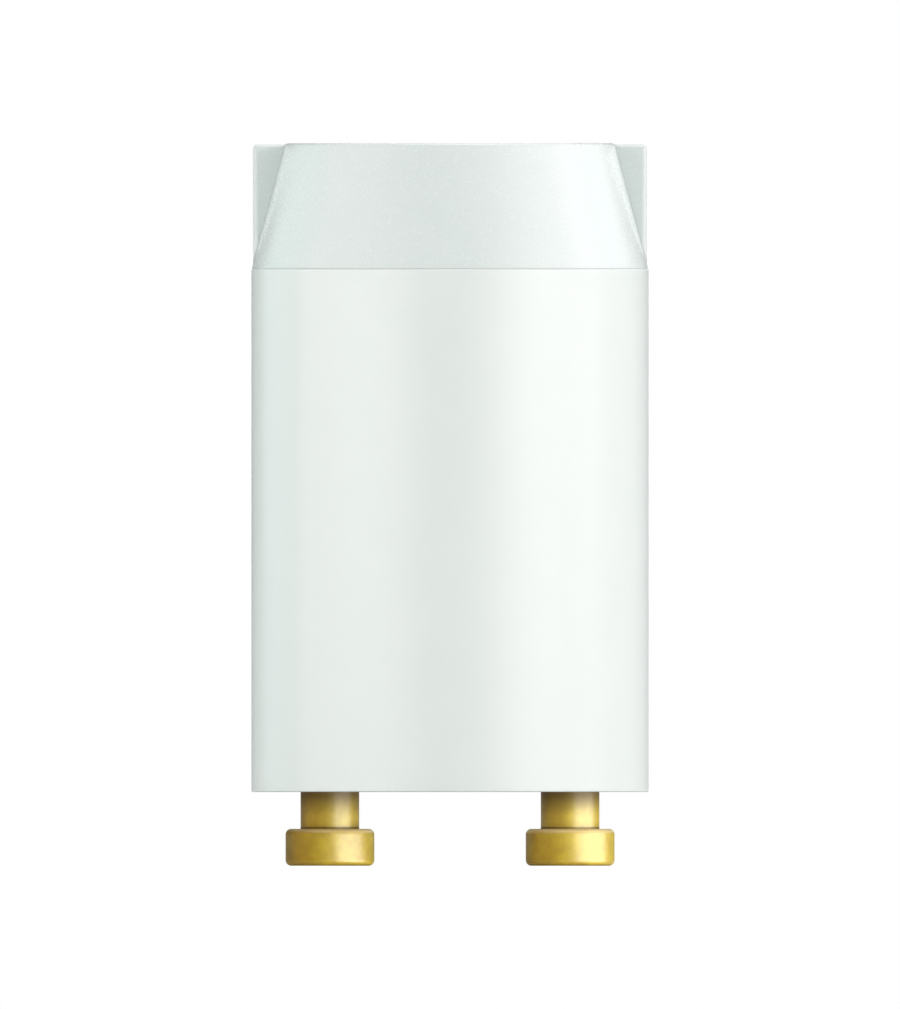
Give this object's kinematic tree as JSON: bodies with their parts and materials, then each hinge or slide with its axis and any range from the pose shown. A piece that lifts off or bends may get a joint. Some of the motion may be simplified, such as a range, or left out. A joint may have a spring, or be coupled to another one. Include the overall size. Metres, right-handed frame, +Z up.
{
  "type": "fluorescent lamp starter",
  "caption": "Cylindrical glow starter: a white moulded can with a tapered, finned grip on a base plate with two headed brass contact pins.",
  "frame": {"origin": "centre of the can's rim plane, which seats on the starter holder, midway between the two contact pins", "axes": "+Z up the can towards the grip and away from the pins; +X from the left pin to the right pin, in the plane of the two fins; +Y from the glow tube to the capacitor"},
  "size_m": [0.021, 0.021, 0.0382],
  "materials": {
    "white_can": "fine matte moulded polycarbonate",
    "white_base": "plain moulded plastic",
    "brass": "turned satin brass",
    "tag_brass": "rolled sheet brass",
    "tinned_wire": "tinned copper wire",
    "lead_wire": "copper-clad sealing wire",
    "nickel": "drawn nickel rod",
    "bimetal": "rolled bimetal sheet",
    "tube_glass": "clear blown glass",
    "capacitor_resin": "glossy dipped resin"
  },
  "bodies": {
    "starter": {"can": "white_can", "base_plate": "white_base", "contact_pin_left": "brass", "contact_pin_right": "brass", "terminal_tag_left": "tag_brass", "terminal_tag_right": "tag_brass", "tube_lead_left": "lead_wire", "tube_lead_right": "lead_wire", "glow_tube_glass": "tube_glass", "bimetal_post": "nickel", "fixed_electrode": "nickel", "capacitor": "capacitor_resin", "capacitor_lead_left": "tinned_wire", "capacitor_lead_right": "tinned_wire"},
    "bimetal": {"bimetal_strip": "bimetal"}
  },
  "joints": [
    {"name": "bimetal_flex", "type": "hinge", "parent": "starter", "child": "bimetal", "pos_m": [-0.00111, -0.00359, 0.01075], "axis": [0, 1, 0], "range_deg": [0, 4], "stiffness_Nm_per_rad": 0.05}
  ]
}
